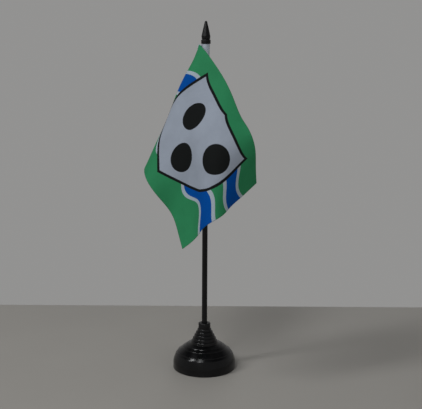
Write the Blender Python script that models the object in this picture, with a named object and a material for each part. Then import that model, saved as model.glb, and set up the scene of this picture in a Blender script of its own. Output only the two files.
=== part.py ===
"""Desk flag stand: stepped plastic base, plastic pole, push-on spear finial and a draped cloth flag.

Frame: metres, +Z up, origin on the table under the middle of the base, -Y towards the front.
The flag's sleeve slides on the pole, the flag turns round it, the finial and the pole pull off upwards.
"""
from math import cos, hypot, pi, radians, sin

import bmesh
import bpy
import numpy as np
from mathutils import Vector

# ---- driving dimensions -------------------------------------------------------------------------
OVERALL_HEIGHT = 0.305
SEAT_GAP = 0.0003            # left between pieces that touch

# base
BASE_RADIUS = 0.028
BASE_HEIGHT = 0.041          # table to the top of the neck
BASE_WALL_HEIGHT = 0.0056    # upright wall at the foot
SHELL_WALL = 0.0018
NECK_RADIUS = 0.0054
NECK_HEIGHT = 0.0051
RING_COUNT = 5               # fine rings of the stepped cone
RING_PITCH = 0.0028          # height of one ring
RING_TREAD = 0.00142         # how far one ring stands outside the ring above it
RING_LIP = 0.0007            # first ring outside the neck
SHELF_TREAD = 0.0043         # the wide ring at the foot of the cone
SHELF_DROP = 0.0027
SECOND_STEP_SHARE = 0.35     # where the step below the shelf stands, from the shelf to the shoulder
SECOND_STEP_DROP = 0.0005
SHOULDER_INSET = 0.0040      # top edge of the shoulder, measured in from the base's rim
SHOULDER_STEP_HEIGHT = 0.0005
SHOULDER_SHARE = 0.361       # height of the shoulder's top edge, as a share of the base's height
SHOULDER_FLARE = ((0.40, 0.826), (0.74, 0.446), (0.925, 0.196))  # share of its inset, share of its rise
BOSS_RADIUS = 0.0046         # tube under the neck that holds the pole
SOCKET_FLOOR = 0.002
RIB_COUNT = 6
RIB_THICKNESS = 0.0012
RIB_FOOT_CLEARANCE = 0.0015  # ribs stop short of the table

# pole
POLE_RADIUS = 0.0024
POLE_CHAMFER = 0.0003
SOCKET_CLEARANCE = 0.0003

# finial
FINIAL_HEIGHT = 0.0190
FINIAL_SEAT = 0.0074         # depth of its bore
FINIAL_BODY_RADIUS = 0.0038
FINIAL_BODY_FOOT_RADIUS = 0.0036
FINIAL_TAPER_LENGTH = 0.0127     # from the tip to the widest place
FINIAL_TIP_RADIUS = 0.0011
COLLAR_RADIUS = 0.00405
COLLAR_HEIGHT = 0.0033
COLLAR_GROOVE = 0.0004       # groove above the collar: its width
COLLAR_GROOVE_DEPTH = 0.00035    # and its depth
FINIAL_CLEARANCE = 0.0003

# flag
FLAG_WIDTH = 0.147           # printed cloth, hoist to fly
FLAG_HEIGHT = 0.1015
CLOTH_THICKNESS = 0.0005
SLEEVE_SLACK = 0.0005        # sleeve's inside to the pole
SLEEVE_WALL = 0.00045
TAIL_WIDTH = 0.0019          # sewn tail of the sleeve strip
TAIL_THICKNESS = 0.0009
TAIL_GAP = 0.0012            # from the tail to the printed cloth, which folds back past it
HOIST_AZIMUTH = radians(159) # direction in which the cloth leaves the pole

# ---- worked out from them -----------------------------------------------------------------------
FINIAL_FOOT = OVERALL_HEIGHT - FINIAL_HEIGHT
POLE_FOOT = SOCKET_FLOOR + SEAT_GAP
POLE_TOP = FINIAL_FOOT + FINIAL_SEAT - SEAT_GAP
SLEEVE_TOP = FINIAL_FOOT - SEAT_GAP
SLEEVE_FOOT = SLEEVE_TOP - FLAG_HEIGHT
SLEEVE_INSIDE = POLE_RADIUS + SLEEVE_SLACK
SLEEVE_OUTSIDE = SLEEVE_INSIDE + SLEEVE_WALL
TAIL_START = SLEEVE_OUTSIDE + SEAT_GAP
HOIST_RADIUS = TAIL_START + TAIL_WIDTH + TAIL_GAP
SOCKET_RADIUS = POLE_RADIUS + SOCKET_CLEARANCE
CONE_TOP = BASE_HEIGHT - NECK_HEIGHT
SHOULDER_TOP = SHOULDER_SHARE * BASE_HEIGHT

ROUND_STEPS = 48
THIN_ROUND_STEPS = 24

# Where the cloth hangs. Each row is one height on the flag, as a share of its height from the foot.
# Each place is (share of the width from the hoist, offset in flag widths from the hoist at that height).
DRAPE = (
    (0.0, (
        (0.11, (-0.109, 0.034, 0.001)),
        (0.31, (-0.290, -0.013, -0.011)),
        (0.51, (-0.275, -0.168, -0.106)),
        (0.75, (-0.140, -0.239, -0.271)),
        (1.0, (-0.061, -0.412, -0.439)),
    )),
    (0.335, (
        (0.11, (-0.104, 0.014, 0.005)),
        (0.31, (-0.189, -0.103, -0.056)),
        (0.51, (-0.101, -0.210, -0.181)),
        (0.75, (-0.013, -0.320, -0.339)),
        (1.0, (0.056, -0.449, -0.504)),
    )),
    (0.67, (
        (0.11, (-0.078, -0.043, 0.009)),
        (0.31, (-0.006, -0.153, -0.085)),
        (0.51, (0.016, -0.307, -0.215)),
        (0.75, (0.111, -0.437, -0.412)),
        (1.0, (0.177, -0.397, -0.669)),
    )),
    (1.0, (
        (0.11, (0.063, -0.103, -0.051)),
        (0.31, (0.157, -0.158, -0.207)),
        (0.51, (0.222, -0.252, -0.366)),
        (0.75, (0.307, -0.328, -0.552)),
        (1.0, (0.340, -0.216, -0.776)),
    )),
)
DRAPE_COLUMNS = 30
DRAPE_ROWS = 20
SETTLING_PASSES = 400
FREE_PASSES = 20             # last passes, without the stiffness
CLOTH_STIFFNESS = 0.01
OVERSHOOT = 1.2


# ---- helpers ------------------------------------------------------------------------------------
def clear_scene():
    for item in list(bpy.data.objects):
        bpy.data.objects.remove(item, do_unlink=True)


def plastic(name, colour, roughness):
    return finish(name, colour, roughness, 0.0)


def finish(name, colour, roughness, metallic):
    material = bpy.data.materials.new(name)
    material.use_nodes = True
    shader = material.node_tree.nodes["Principled BSDF"]
    shader.inputs["Base Color"].default_value = (*colour, 1.0)
    shader.inputs["Roughness"].default_value = roughness
    shader.inputs["Metallic"].default_value = metallic
    material.diffuse_color = (*colour, 1.0)
    return material


def add_object(name, mesh, material):
    if material:
        mesh.materials.append(material)
    item = bpy.data.objects.new(name, mesh)
    bpy.context.scene.collection.objects.link(item)
    return item


def turned(name, outline, steps, material):
    """Solid of revolution about Z; outline is (radius, height), its ends may lie on the axis."""
    shape = bmesh.new()
    corners = [shape.verts.new((radius, 0, height)) for radius, height in outline]
    edges = [shape.edges.new(pair) for pair in zip(corners, corners[1:])]
    if outline[0][0] > 0:
        edges.append(shape.edges.new((corners[-1], corners[0])))
    bmesh.ops.spin(shape, geom=corners + edges, cent=(0, 0, 0), axis=(0, 0, 1), angle=2 * pi,
                   steps=steps, use_merge=True)
    bmesh.ops.remove_doubles(shape, verts=shape.verts, dist=1e-6)
    bmesh.ops.recalc_face_normals(shape, faces=shape.faces)
    mesh = bpy.data.meshes.new(name)
    shape.to_mesh(mesh)
    shape.free()
    mesh.shade_smooth()
    mesh.set_sharp_from_angle(angle=radians(35))
    return add_object(name, mesh, material)


def arc(centre, radius, start, end, count):
    """Points of a circular arc, angles in degrees from +radius towards +height."""
    turns = [radians(start + (end - start) * step / count) for step in range(count + 1)]
    return [(centre[0] + radius * cos(turn), centre[1] + radius * sin(turn)) for turn in turns]


# ---- base ---------------------------------------------------------------------------------------
def cone_rings():
    """Corners of the stepped cone, top to bottom: one tread corner and one riser foot for each ring."""
    points = []
    for ring in range(RING_COUNT):
        radius = NECK_RADIUS + RING_LIP + ring * RING_TREAD
        top = CONE_TOP - ring * RING_PITCH
        points += [(radius, top), (radius + 0.2 * RING_TREAD, top - 0.8 * RING_PITCH)]
    return points


def shelf_step(ring_foot):
    """Outer edge of the wide ring below the cone, and the foot of its riser."""
    shelf = (ring_foot[0] + SHELF_TREAD, ring_foot[1] - 0.45 * SHELF_DROP)
    return shelf, (shelf[0] + 0.1 * SHELF_TREAD, shelf[1] - 0.25 * SHELF_DROP)


def base_outside():
    """Outer outline of the base from the neck's top edge to the foot of the wall."""
    chamfer = 0.1 * NECK_RADIUS
    points = [(NECK_RADIUS - chamfer, BASE_HEIGHT), (NECK_RADIUS, BASE_HEIGHT - chamfer),
              (NECK_RADIUS, CONE_TOP)]
    points += cone_rings()
    shelf, shelf_foot = shelf_step(points[-1])
    points += [shelf, shelf_foot]
    shoulder_radius = BASE_RADIUS - SHOULDER_INSET
    reach = shoulder_radius - shelf_foot[0]
    fall = shelf_foot[1] - SHOULDER_TOP - SHOULDER_STEP_HEIGHT
    second = (shelf_foot[0] + SECOND_STEP_SHARE * reach,
              shelf_foot[1] - SECOND_STEP_SHARE * fall + 0.7 * SECOND_STEP_DROP)
    points += [second, (second[0] + 0.4 * SECOND_STEP_DROP, second[1] - SECOND_STEP_DROP)]
    points += [(shoulder_radius, SHOULDER_TOP + SHOULDER_STEP_HEIGHT), (shoulder_radius + 0.0001, SHOULDER_TOP)]
    rise = SHOULDER_TOP - BASE_WALL_HEIGHT
    points += [(shoulder_radius + out * SHOULDER_INSET, BASE_WALL_HEIGHT + up * rise)
               for out, up in SHOULDER_FLARE]
    points += [(BASE_RADIUS, BASE_WALL_HEIGHT), (BASE_RADIUS, 0)]
    return points


def base_inside():
    """Inner outline of the shell, from the foot of the wall up to where it meets the boss."""
    inner_wall = BASE_RADIUS - SHELL_WALL
    shoulder_radius = BASE_RADIUS - SHOULDER_INSET
    shelf = shelf_step(cone_rings()[-1])[0]
    cone_foot = NECK_RADIUS + RING_LIP + RING_COUNT * RING_TREAD - SHELL_WALL
    cone_foot_height = CONE_TOP - RING_COUNT * RING_PITCH - SHELL_WALL
    slope = RING_PITCH / RING_TREAD
    return [
        (inner_wall, 0),
        (inner_wall, BASE_WALL_HEIGHT - 0.3 * SHELL_WALL),
        (shoulder_radius, SHOULDER_TOP - 1.8 * SHELL_WALL),
        (shoulder_radius - 0.9 * SHELL_WALL, SHOULDER_TOP - 1.0 * SHELL_WALL),
        (shelf[0] - 0.5 * SHELL_WALL, shelf[1] - 1.3 * SHELL_WALL),
        (cone_foot + 0.0004, cone_foot_height - 0.2 * SHELL_WALL),
        (BOSS_RADIUS, cone_foot_height + slope * (cone_foot - BOSS_RADIUS)),
    ]


def rib_blades():
    """Radial ribs as one guide object of separate blades, which end inside the shell and the boss."""
    inside = base_inside()[1:]
    bite = 0.5 * SHELL_WALL
    edge = [(BOSS_RADIUS - bite, RIB_FOOT_CLEARANCE), (inside[0][0] + bite, RIB_FOOT_CLEARANCE),
            (inside[0][0] + bite, inside[0][1])]
    edge += [(radius + 0.6 * bite, height + 0.6 * bite) for radius, height in inside[1:-1]]
    edge.append((BOSS_RADIUS - bite, inside[-1][1]))
    shape = bmesh.new()
    for number in range(RIB_COUNT):
        turn = 2 * pi * (number + 0.5) / RIB_COUNT
        outward = Vector((cos(turn), sin(turn), 0))
        across = Vector((-sin(turn), cos(turn), 0)) * RIB_THICKNESS
        corners = [outward * radius + Vector((0, 0, height)) - across / 2 for radius, height in edge]
        face = shape.faces.new([shape.verts.new(corner) for corner in corners])
        grown = bmesh.ops.extrude_face_region(shape, geom=[face])
        moved = [part for part in grown["geom"] if isinstance(part, bmesh.types.BMVert)]
        bmesh.ops.translate(shape, verts=moved, vec=across)
    bmesh.ops.recalc_face_normals(shape, faces=shape.faces)
    mesh = bpy.data.meshes.new("rib_blades")
    shape.to_mesh(mesh)
    shape.free()
    blades = add_object("rib_blades", mesh, None)
    blades.hide_render = True
    blades.display_type = "WIRE"
    return blades


def make_base(material):
    outline = [(0, 0), (BOSS_RADIUS, 0)] + list(reversed(base_inside())) + list(reversed(base_outside()))
    outline += [(SOCKET_RADIUS, BASE_HEIGHT), (SOCKET_RADIUS, SOCKET_FLOOR), (0, SOCKET_FLOOR)]
    base = turned("base", outline, ROUND_STEPS, material)
    union = base.modifiers.new("ribs", "BOOLEAN")
    union.operation = "UNION"
    union.solver = "EXACT"
    union.object = rib_blades()
    return base


# ---- pole and finial ----------------------------------------------------------------------------
def make_pole(material):
    length = POLE_TOP - POLE_FOOT
    inner = POLE_RADIUS - POLE_CHAMFER
    outline = [(0, 0), (inner, 0), (POLE_RADIUS, POLE_CHAMFER), (POLE_RADIUS, length - POLE_CHAMFER),
               (inner, length), (0, length)]
    pole = turned("pole", outline, THIN_ROUND_STEPS, material)
    pole.location.z = POLE_FOOT
    return pole


def make_finial(material):
    """Spear cap: the outline runs from the tip down its outside, then up the bore."""
    tip_centre = FINIAL_HEIGHT - FINIAL_TIP_RADIUS
    widest = FINIAL_HEIGHT - FINIAL_TAPER_LENGTH
    groove_top = COLLAR_HEIGHT + COLLAR_GROOVE
    groove_radius = FINIAL_BODY_FOOT_RADIUS - COLLAR_GROOVE_DEPTH
    bore = POLE_RADIUS + FINIAL_CLEARANCE
    outline = [(0, FINIAL_HEIGHT)]
    outline += arc((0, tip_centre), FINIAL_TIP_RADIUS, 65, 12, 3)
    outline += [
        (FINIAL_BODY_RADIUS, widest),
        (FINIAL_BODY_FOOT_RADIUS, groove_top + COLLAR_GROOVE),
        (groove_radius, groove_top),
        (groove_radius, COLLAR_HEIGHT),
        (COLLAR_RADIUS, COLLAR_HEIGHT),
        (COLLAR_RADIUS, 0),
        (bore, 0),
        (bore, FINIAL_SEAT),
        (0, FINIAL_SEAT),
    ]
    finial = turned("finial", outline, THIN_ROUND_STEPS, material)
    finial.location.z = FINIAL_FOOT
    return finial


# ---- flag ---------------------------------------------------------------------------------------
def make_sleeve(material):
    outline = [(SLEEVE_INSIDE, 0), (SLEEVE_OUTSIDE, 0), (SLEEVE_OUTSIDE, FLAG_HEIGHT),
               (SLEEVE_INSIDE, FLAG_HEIGHT)]
    sleeve = turned("flag_sleeve", outline, THIN_ROUND_STEPS, material)
    sleeve.location.z = SLEEVE_FOOT
    return sleeve


def make_tail(material):
    """Flat strip between the sleeve and the printed cloth, turned to the hoist's direction."""
    shape = bmesh.new()
    bmesh.ops.create_cube(shape, size=1)
    bmesh.ops.scale(shape, vec=(TAIL_WIDTH, TAIL_THICKNESS, FLAG_HEIGHT), verts=shape.verts)
    middle = (TAIL_START + TAIL_WIDTH / 2, 0, SLEEVE_FOOT + FLAG_HEIGHT / 2)
    bmesh.ops.translate(shape, vec=middle, verts=shape.verts)
    mesh = bpy.data.meshes.new("sleeve_tail")
    shape.to_mesh(mesh)
    shape.free()
    tail = add_object("sleeve_tail", mesh, material)
    tail.rotation_euler.z = HOIST_AZIMUTH
    return tail


def hoist_point(share):
    """Edge of the printed cloth along the tail; share 0 is the foot and 1 the top."""
    return np.array((HOIST_RADIUS * cos(HOIST_AZIMUTH), HOIST_RADIUS * sin(HOIST_AZIMUTH),
                     SLEEVE_FOOT + share * FLAG_HEIGHT))


def thin_plate(places, targets, wanted):
    """Smoothest surface through the targets at the given places, read at the wanted places."""
    def kernel(first, second):
        squared = ((first[:, None] - second[None]) ** 2).sum(-1)
        return squared * np.log(squared + 1e-12)

    count = len(places)
    plane = np.column_stack((np.ones(count), places))
    system = np.zeros((count + 3, count + 3))
    system[:count, :count] = kernel(places, places)
    system[:count, count:] = plane
    system[count:, :count] = plane.T
    weights = np.linalg.solve(system, np.vstack((targets, np.zeros((3, 3)))))
    wanted_plane = np.column_stack((np.ones(len(wanted)), wanted))
    return kernel(wanted, places) @ weights[:count] + wanted_plane @ weights[count:]


def stiffen(cloth):
    """Ease out kinks, as the stiffness of the threads does."""
    curl = np.zeros_like(cloth)
    curl[1:-1] += cloth[2:] - 2 * cloth[1:-1] + cloth[:-2]
    curl[:, 1:-1] += cloth[:, 2:] - 2 * cloth[:, 1:-1] + cloth[:, :-2]
    push = np.zeros_like(cloth)
    push[2:-1] += curl[3:] - 2 * curl[2:-1] + curl[1:-2]
    push[:, 1:-1] += curl[:, 2:] - 2 * curl[:, 1:-1] + curl[:, :-2]
    cloth[1:] -= CLOTH_STIFFNESS * push[1:]


def settle(cloth, column_step, row_step):
    """Bring every thread and both diagonals of each cell back to length; the hoist stays put."""
    diagonal = hypot(column_step, row_step)
    every, low, high = slice(None), slice(0, -1), slice(1, None)
    links = (((low, every), (high, every), column_step), ((every, low), (every, high), row_step),
             ((low, low), (high, high), diagonal), ((low, high), (high, low), diagonal))
    for turn in range(SETTLING_PASSES):
        if turn < SETTLING_PASSES - FREE_PASSES:
            stiffen(cloth)
        shift = np.zeros_like(cloth)
        shares = np.zeros(cloth.shape[:2] + (1,))
        for start, end, length in links:
            span = cloth[end] - cloth[start]
            error = span * (1 - length / np.linalg.norm(span, axis=-1, keepdims=True)) / 2
            shift[start] += error
            shift[end] -= error
            shares[start] += 1
            shares[end] += 1
        cloth[1:] += (OVERSHOOT * shift / shares)[1:]
    return cloth


def draped_cloth(columns, rows):
    """Grid of points, hoist to fly and foot to top, where the flag hangs."""
    places, targets = [], []
    for height, row in DRAPE:
        places.append((0.0, height * FLAG_HEIGHT))
        targets.append(hoist_point(height))
        for share, offset in row:
            places.append((share * FLAG_WIDTH, height * FLAG_HEIGHT))
            targets.append(hoist_point(height) + np.array(offset) * FLAG_WIDTH)
    across = np.linspace(0, FLAG_WIDTH, columns)
    up = np.linspace(0, FLAG_HEIGHT, rows)
    wanted = np.array([(x, y) for x in across for y in up])
    cloth = thin_plate(np.array(places), np.array(targets), wanted).reshape(columns, rows, 3)
    cloth[0] = [hoist_point(y / FLAG_HEIGHT) for y in up]
    return settle(cloth, across[1], up[1])


def make_panel(material):
    cloth = draped_cloth(DRAPE_COLUMNS, DRAPE_ROWS)
    shape = bmesh.new()
    grid = [[shape.verts.new(point) for point in column] for column in cloth]
    for near, far in zip(grid, grid[1:]):
        for low in range(DRAPE_ROWS - 1):
            shape.faces.new((near[low], far[low], far[low + 1], near[low + 1]))
    mesh = bpy.data.meshes.new("flag_panel")
    shape.to_mesh(mesh)
    shape.free()
    mesh.shade_smooth()
    panel = add_object("flag_panel", mesh, material)
    solid = panel.modifiers.new("cloth_thickness", "SOLIDIFY")
    solid.thickness = CLOTH_THICKNESS
    solid.offset = 0
    return panel


# ---- assembly -----------------------------------------------------------------------------------
def turning_axis():
    """Empty on the pole's axis that carries the tail and the printed cloth."""
    axis = bpy.data.objects.new("flag_axis", None)
    axis.location.z = SLEEVE_FOOT
    bpy.context.scene.collection.objects.link(axis)
    return axis


def hang_on(axis, item):
    item.parent = axis
    item.matrix_parent_inverse.translation.z = -axis.location.z


def main():
    clear_scene()
    make_base(plastic("black_gloss_plastic", (0.012, 0.012, 0.014), 0.28))
    make_pole(plastic("black_pole_plastic", (0.014, 0.013, 0.015), 0.32))
    make_finial(plastic("black_finial_plastic", (0.016, 0.016, 0.017), 0.38))
    make_sleeve(finish("white_sleeve_cloth", (0.72, 0.73, 0.76), 0.8, 0.0))
    axis = turning_axis()
    hang_on(axis, make_tail(finish("white_tail_cloth", (0.72, 0.73, 0.76), 0.8, 0.0)))
    hang_on(axis, make_panel(finish("green_printed_cloth", (0.02, 0.27, 0.09), 0.7, 0.0)))


main()
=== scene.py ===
"""Looks of a desk flag on a stepped plastic stand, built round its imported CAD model.

The stand, pole and cap are turned from outlines. The flag is a sheet of thin printed cloth, let down
from a few guide places until each thread is back to its own length. Metres, +Z up, front towards -Y.
"""

from math import cos, hypot, pi, radians, sin

import bmesh
import bpy
import numpy as np
from bpy.props import FloatProperty, FloatVectorProperty, IntProperty, PointerProperty
from mathutils import Matrix, Vector


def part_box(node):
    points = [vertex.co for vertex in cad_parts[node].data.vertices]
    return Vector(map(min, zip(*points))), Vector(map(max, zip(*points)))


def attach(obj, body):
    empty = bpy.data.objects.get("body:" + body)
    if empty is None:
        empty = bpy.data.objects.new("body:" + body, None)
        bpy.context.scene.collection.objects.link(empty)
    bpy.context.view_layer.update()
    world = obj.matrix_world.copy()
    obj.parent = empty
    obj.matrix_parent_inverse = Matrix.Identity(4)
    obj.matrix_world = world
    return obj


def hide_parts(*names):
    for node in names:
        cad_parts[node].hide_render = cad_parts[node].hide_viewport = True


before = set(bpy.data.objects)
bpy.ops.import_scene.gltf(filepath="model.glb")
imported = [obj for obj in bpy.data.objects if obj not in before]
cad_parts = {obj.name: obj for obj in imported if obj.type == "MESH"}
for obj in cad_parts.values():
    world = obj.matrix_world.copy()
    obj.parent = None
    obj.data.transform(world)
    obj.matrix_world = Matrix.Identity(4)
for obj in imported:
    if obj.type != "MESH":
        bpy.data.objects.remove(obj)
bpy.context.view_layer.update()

bl_info = {
    "name": "Desk flag stand",
    "version": (1, 0, 0),
    "blender": (4, 5, 0),
    "location": "3D View > Sidebar > Flag Stand",
    "description": "Builds a desk flag with its sleeve, pole, cap and stepped stand",
    "category": "Object",
}

# ---- sizes read from the frame ----
BASE_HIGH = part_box("base")[1]
POLE_LOW, POLE_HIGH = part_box("pole")
FINIAL_LOW, FINIAL_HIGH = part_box("finial")
SLEEVE_LOW, SLEEVE_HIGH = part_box("flag_sleeve")
MILLIMETRE = 0.001

# ---- base: how its outline is stepped ----
SHELL_WALL = 0.0018
NECK_HEIGHT = 0.0051
RING_COUNT = 5
RING_PITCH = 0.0028
RING_TREAD = 0.00142
RING_LIP = 0.0007
SHELF_TREAD = 0.0043
SHELF_DROP = 0.0027
SECOND_STEP_SHARE = 0.35
SECOND_STEP_DROP = 0.0005
SHOULDER_INSET = 0.0040
SHOULDER_STEP_HEIGHT = 0.0005
SHOULDER_SHARE = 0.361
SHOULDER_FLARE = ((0.40, 0.826), (0.74, 0.446), (0.925, 0.196))
WALL_HEIGHT = 0.0056
LIP_CORNER = 0.0010
RISER_FOOT_CORNER = 0.0002
INSIDE_CORNER = 0.0006
BOSS_RADIUS = 0.0046
SOCKET_FLOOR = 0.002
SOCKET_CLEARANCE = 0.0003
RIB_COUNT = 6
RIB_THICKNESS = 0.0012
RIB_FOOT_CLEARANCE = 0.0015

# ---- pole and turned pieces ----
POLE_CORNER = 0.0003
RAIL_RADIUS = 0.01  # any size will do: it is taken off again
CREASE_ANGLE = radians(32)
FULL_WEAR_ANGLE = radians(45)

# ---- cap ----
CAP_SEAT = 0.0074
CAP_BODY_RADIUS = 0.0038
CAP_BODY_FOOT_RADIUS = 0.0036
CAP_TAPER_LENGTH = 0.0127
CAP_TIP_RADIUS = 0.0011
COLLAR_HEIGHT = 0.0033
COLLAR_GROOVE = 0.0004
COLLAR_GROOVE_DEPTH = 0.00035

# ---- flag ----
HOIST_AZIMUTH = radians(159)
HOIST_RADIUS = 0.00675
OUTWARD = np.array((cos(HOIST_AZIMUTH), sin(HOIST_AZIMUTH), 0))
HOIST_TUCK = 0.0012  # of the cloth, into the tail of the sleeve strip

# Where the cloth hangs. Each row is one height on the flag, as a share of its height from the foot, and
# the offsets there from the hoist, in flag widths, at each of these shares of the width.
DRAPE_SHARES = (0.11, 0.31, 0.51, 0.75, 1.0)
DRAPE = (
    (0.0, ((-0.109, 0.034, 0.001), (-0.290, -0.013, -0.011), (-0.275, -0.168, -0.106),
           (-0.140, -0.239, -0.271), (-0.061, -0.412, -0.439))),
    (0.335, ((-0.104, 0.014, 0.005), (-0.189, -0.103, -0.056), (-0.101, -0.210, -0.181),
           (-0.013, -0.320, -0.339), (0.056, -0.449, -0.504))),
    (0.67, ((-0.078, -0.043, 0.009), (-0.006, -0.153, -0.085), (0.016, -0.307, -0.215),
           (0.111, -0.437, -0.412), (0.177, -0.397, -0.669))),
    (1.0, ((0.063, -0.103, -0.051), (0.157, -0.158, -0.207), (0.222, -0.252, -0.366),
           (0.307, -0.328, -0.552), (0.340, -0.216, -0.776))),
)
DRAPE_COLUMNS = 30
DRAPE_ROWS = 20
SETTLING_PASSES = (400, 150, 60)  # on the coarse grid, then on each finer one
STIFFNESS = 0.01
FREE_PASSES = 20

# ---- sleeve strip and its tail ----
SLEEVE_INSET = 0.00012
TAIL_START_GAP = 0.00018
LEAF_REACH = 0.00026  # each leaf of the tail, out from the cloth between them
PRESSED_SHARE = 0.9  # of the strip's thickness, where it is sewn down
STITCH_RISE = 0.00003

# ---- print ----
# Half of the printed shield's edge, in millimetres: out from its middle line, up from the flag's foot.
SHIELD_EDGE = ((42.3, 95.0), (45.0, 82.0), (47.6, 68.0), (48.4, 58.0), (47.2, 49.0), (42.0, 40.0),
               (32.0, 30.5), (22.0, 23.8), (11.0, 18.2), (0.0, 12.8))
SHIELD_TOP = 88.0
SHIELD_HALF_TOP = 42.6
SHIELD_TOP_RISE = (2.0, 3.4)  # of the top's arcs, at its middle and at its corners
SHIELD_MIDDLE = 76.3
SHIELD_BEND = 0.0015  # its middle line leans by this times the square of the
SHIELD_BEND_HEIGHT = 55.0  # distance from this height
SHIELD_LINE_OUTSIDE = 1.1
SHIELD_LINE_INSIDE = 1.2
ROUNDELS = ((58.0, 65.0), (106.0, 66.5), (80.0, 37.5))
ROUNDEL_RADIUS = 12.2
# Each wavy band's lower and upper edge: middle height, swing, a crest's place from the hoist, wavelength.
BANDS = (((27.7, 6.6, 128.0, 47.0), (45.5, 4.9, 127.5, 47.0)),
         ((61.5, 4.2, 121.0, 43.0), (79.9, 4.3, 115.5, 43.0)))
BAND_EDGING = 1.75  # half the width of the pale line along each edge
BLEED = 0.22  # how far one ink runs into the next
REVERSE_GREY = 0.55  # what the colours fade towards on the reverse

# ---- finishes ----
RUBBED_PLASTIC = (0.045, 0.045, 0.048)
WORN_POLE = (0.050, 0.049, 0.052)
MOULD_GRAIN_DEPTH = 0.000005
DRAWN_LINE_DEPTH = 0.000014
FLAG_WEAVE_PITCH = 0.36  # millimetres on the flat cloth
FLAG_WEAVE_DEPTH = 0.00004
STRIP_WEAVE_PITCH = 0.45
STRIP_WEAVE_DEPTH = 0.00005
MELT_DEPTH = 0.00005
THREAD_TWIST_DEPTH = 0.00003

# ---- stage ----
CAMERA_PLACE = (0.0052, -0.65, 0.2518)
CAMERA_PITCH = radians(80.95)
CAMERA_ROLL = radians(0.37)
CAMERA_LENS = 64.13
LIGHT_COLOUR = (0.97, 0.985, 1.0)
LIGHT_AIM = (0, 0, 0.15)
# Each light: name, degrees from the front towards the right, height, distance, width and height of
# its pane, power, and whether it only fills. A pane that fills is neither seen nor mirrored.
LIGHTS = (
    ("window_left", -64.0, 1.05, 1.0, 0.18, 0.75, 6.6, False),
    ("window_front", -22.0, 1.15, 1.1, 0.28, 0.80, 7.4, False),
    ("room_right", 50.0, 0.40, 1.5, 1.2, 0.9, 4.0, True),
    ("room_behind", 170.0, 0.70, 1.5, 1.2, 0.9, 4.0, True),
)


# ---- what a user may change ----
def length_prop(name, text, default):
    return FloatProperty(name=name, description=text, default=default, min=0.0, unit="LENGTH", precision=5)


def colour_prop(name, text, default):
    return FloatVectorProperty(name=name, description=text, default=default, min=0.0, max=1.0,
                               subtype="COLOR", size=3)


class FlagStandSizes(bpy.types.PropertyGroup):
    """Sizes of the stand and its flag."""

    base_radius: length_prop("Base Radius", "Radius of the stand's foot", BASE_HIGH.x)
    base_height: length_prop("Base Height", "Table to the top of the neck", BASE_HIGH.z)
    neck_radius: length_prop("Neck Radius", "Radius of the neck round the pole", 0.0054)
    pole_radius: length_prop("Pole Radius", "Radius of the pole", POLE_HIGH.y)
    cap_height: length_prop("Cap Height", "Height of the pole's cap", FINIAL_HIGH.z - FINIAL_LOW.z)
    collar_radius: length_prop("Collar Radius", "Radius of the cap's collar", FINIAL_HIGH.y)
    flag_width: length_prop("Flag Width", "Printed cloth, hoist to fly", 0.147)
    flag_height: length_prop("Flag Height", "Printed cloth, foot to top", SLEEVE_HIGH.z - SLEEVE_LOW.z)
    cloth_thickness: length_prop("Cloth Thickness", "Thickness of the printed cloth", 0.00018)
    strip_thickness: length_prop("Strip Thickness", "Thickness of the white sleeve strip", 0.0003)
    stitch_pitch: length_prop("Stitch Pitch", "Distance from one stitch to the next", 0.0024)
    steps_around: IntProperty(name="Steps Around", description="Faces round a turned piece",
                              default=160, min=16, max=256)
    fillet_points: IntProperty(name="Fillet Points", description="Points on each rounded corner",
                               default=4, min=1, max=12)


class FlagStandColours(bpy.types.PropertyGroup):
    """Colours of the finishes and of the print."""

    plastic: colour_prop("Plastic", "Black moulded plastic", (0.0022, 0.0022, 0.0025))
    dust: colour_prop("Dust", "Fine dust on upward faces", (0.16, 0.155, 0.145))
    strip: colour_prop("Strip", "White sleeve strip", (0.42, 0.46, 0.52))
    field: colour_prop("Field", "Green field of the print", (0.027, 0.205, 0.086))
    band: colour_prop("Band", "Blue wavy bands of the print", (0.0005, 0.064, 0.300))
    band_edge: colour_prop("Band Edge", "Pale edges of the bands", (0.34, 0.40, 0.45))
    shield: colour_prop("Shield", "Ground of the shield", (0.290, 0.325, 0.385))
    ink: colour_prop("Ink", "Black ink of the roundels and the shield's edge", (0.0085, 0.0095, 0.0095))
    floor: colour_prop("Floor", "Plain pale floor", (0.35, 0.333, 0.307))
    surround: colour_prop("Surround", "Plain light all round", (0.290, 0.288, 0.284))
    ceiling: colour_prop("Ceiling", "Dimmer light from above", (0.045, 0.045, 0.046))


def sizes():
    return bpy.context.scene.flag_stand_sizes


def paint(name):
    return tuple(getattr(bpy.context.scene.flag_stand_colours, name))


# ---- node helpers ----
def add(tree, kind, inputs=(), **settings):
    """New node with its settings; inputs names or numbers sockets and says what each is fed."""
    node = tree.nodes.new(kind)
    for name, value in settings.items():
        setattr(node, name, value)
    for socket, value in dict(inputs).items():
        feed(tree, node.inputs[socket], value)
    return node


def feed(tree, socket, value):
    """Joins a socket to an output, or sets it to a plain value."""
    if isinstance(value, Term):
        value = value.socket
    if isinstance(value, bpy.types.NodeSocket):
        tree.links.new(value, socket)
    else:
        socket.default_value = value


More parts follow.
